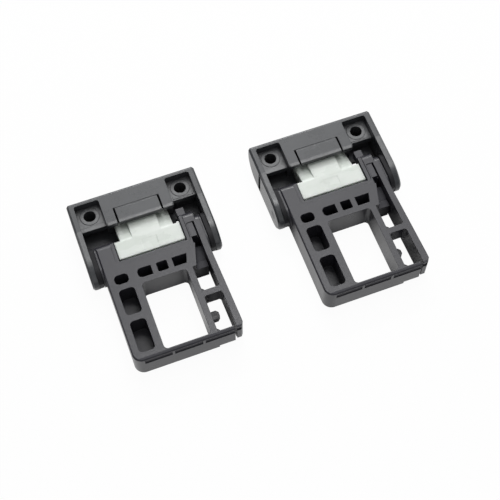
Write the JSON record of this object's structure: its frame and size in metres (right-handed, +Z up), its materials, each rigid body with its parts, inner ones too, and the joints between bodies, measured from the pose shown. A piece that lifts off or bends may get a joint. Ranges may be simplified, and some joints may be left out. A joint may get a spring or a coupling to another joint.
{
  "type": "pair of document feeder hinges",
  "caption": "Pair of moulded plastic lid hinges for a document feeder, each with a plug-in arm, a screw-on bracket and a sprung white cam slider, lying open flat.",
  "frame": {"origin": "on the table, under the middle of the pair's bounding box", "axes": "+X across the pair along both hinge axes, +Y from the arms towards the brackets' back edges, +Z up"},
  "size_m": [0.1076, 0.06, 0.0108],
  "materials": {
    "arm_plastic": "satin moulded",
    "bracket_plastic": "satin moulded",
    "washer_plastic": "smooth",
    "nylon": "natural, milky",
    "spring_steel": "drawn wire",
    "pin_steel": "black oxide"
  },
  "bodies": {
    "bases": {"hinge_a_base_arm": "arm_plastic", "hinge_b_base_arm": "arm_plastic"},
    "hinge_a_lid": {"hinge_a_lid_bracket": "bracket_plastic", "hinge_a_left_pin": "pin_steel", "hinge_a_right_pin": "pin_steel", "hinge_a_left_washer": "washer_plastic", "hinge_a_right_washer": "washer_plastic", "hinge_a_left_spring": "spring_steel", "hinge_a_right_spring": "spring_steel"},
    "hinge_a_slider": {"hinge_a_cam_slider": "nylon"},
    "hinge_b_lid": {"hinge_b_lid_bracket": "bracket_plastic", "hinge_b_left_pin": "pin_steel", "hinge_b_right_pin": "pin_steel", "hinge_b_left_washer": "washer_plastic", "hinge_b_right_washer": "washer_plastic", "hinge_b_left_spring": "spring_steel", "hinge_b_right_spring": "spring_steel"},
    "hinge_b_slider": {"hinge_b_cam_slider": "nylon"}
  },
  "joints": [
    {"name": "hinge_a_fold", "type": "hinge", "parent": "bases", "child": "hinge_a_lid", "pos_m": [-0.0318, 0.0059, 0.0054], "axis": [1, 0, 0], "range_deg": [0, 90]},
    {"name": "hinge_a_slide", "type": "slide", "parent": "hinge_a_lid", "child": "hinge_a_slider", "axis": [0, 1, 0], "range_m": [0, 0.0044], "deforming": ["hinge_a_left_spring", "hinge_a_right_spring"]},
    {"name": "hinge_b_fold", "type": "hinge", "parent": "bases", "child": "hinge_b_lid", "pos_m": [0.0318, 0.0059, 0.0054], "axis": [1, 0, 0], "range_deg": [0, 90]},
    {"name": "hinge_b_slide", "type": "slide", "parent": "hinge_b_lid", "child": "hinge_b_slider", "axis": [0, 1, 0], "range_m": [0, 0.0044], "deforming": ["hinge_b_left_spring", "hinge_b_right_spring"]}
  ],
  "couplings": [
    {"joint": "hinge_a_slide", "follows": "hinge_a_fold", "m_per_rad": 0.0028},
    {"joint": "hinge_b_slide", "follows": "hinge_b_fold", "m_per_rad": 0.0028}
  ]
}
